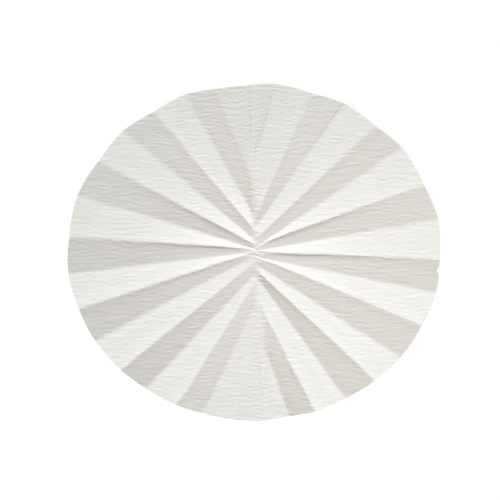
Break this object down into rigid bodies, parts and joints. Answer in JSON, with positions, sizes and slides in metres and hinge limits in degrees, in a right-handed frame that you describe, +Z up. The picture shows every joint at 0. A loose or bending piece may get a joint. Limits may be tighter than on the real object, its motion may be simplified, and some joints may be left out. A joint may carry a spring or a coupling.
{
  "type": "fluted filter paper circle",
  "caption": "Round sheet of creped filter paper, folded across the middle, pleated into a fan of shallow flutes and opened out to lie nearly flat.",
  "frame": {"origin": "centre of the circle on the plane that the paper lies on", "axes": "+Z up, away from the plane the paper lies on; the fold across the middle runs nearly along Y, its +Y end leaning 2.2 degrees towards -X"},
  "size_m": [0.1498, 0.1495, 0.0034],
  "materials": {
    "paper": "matt off-white creped paper"
  },
  "bodies": {
    "root": {"filter_paper": "paper"}
  },
  "joints": []
}
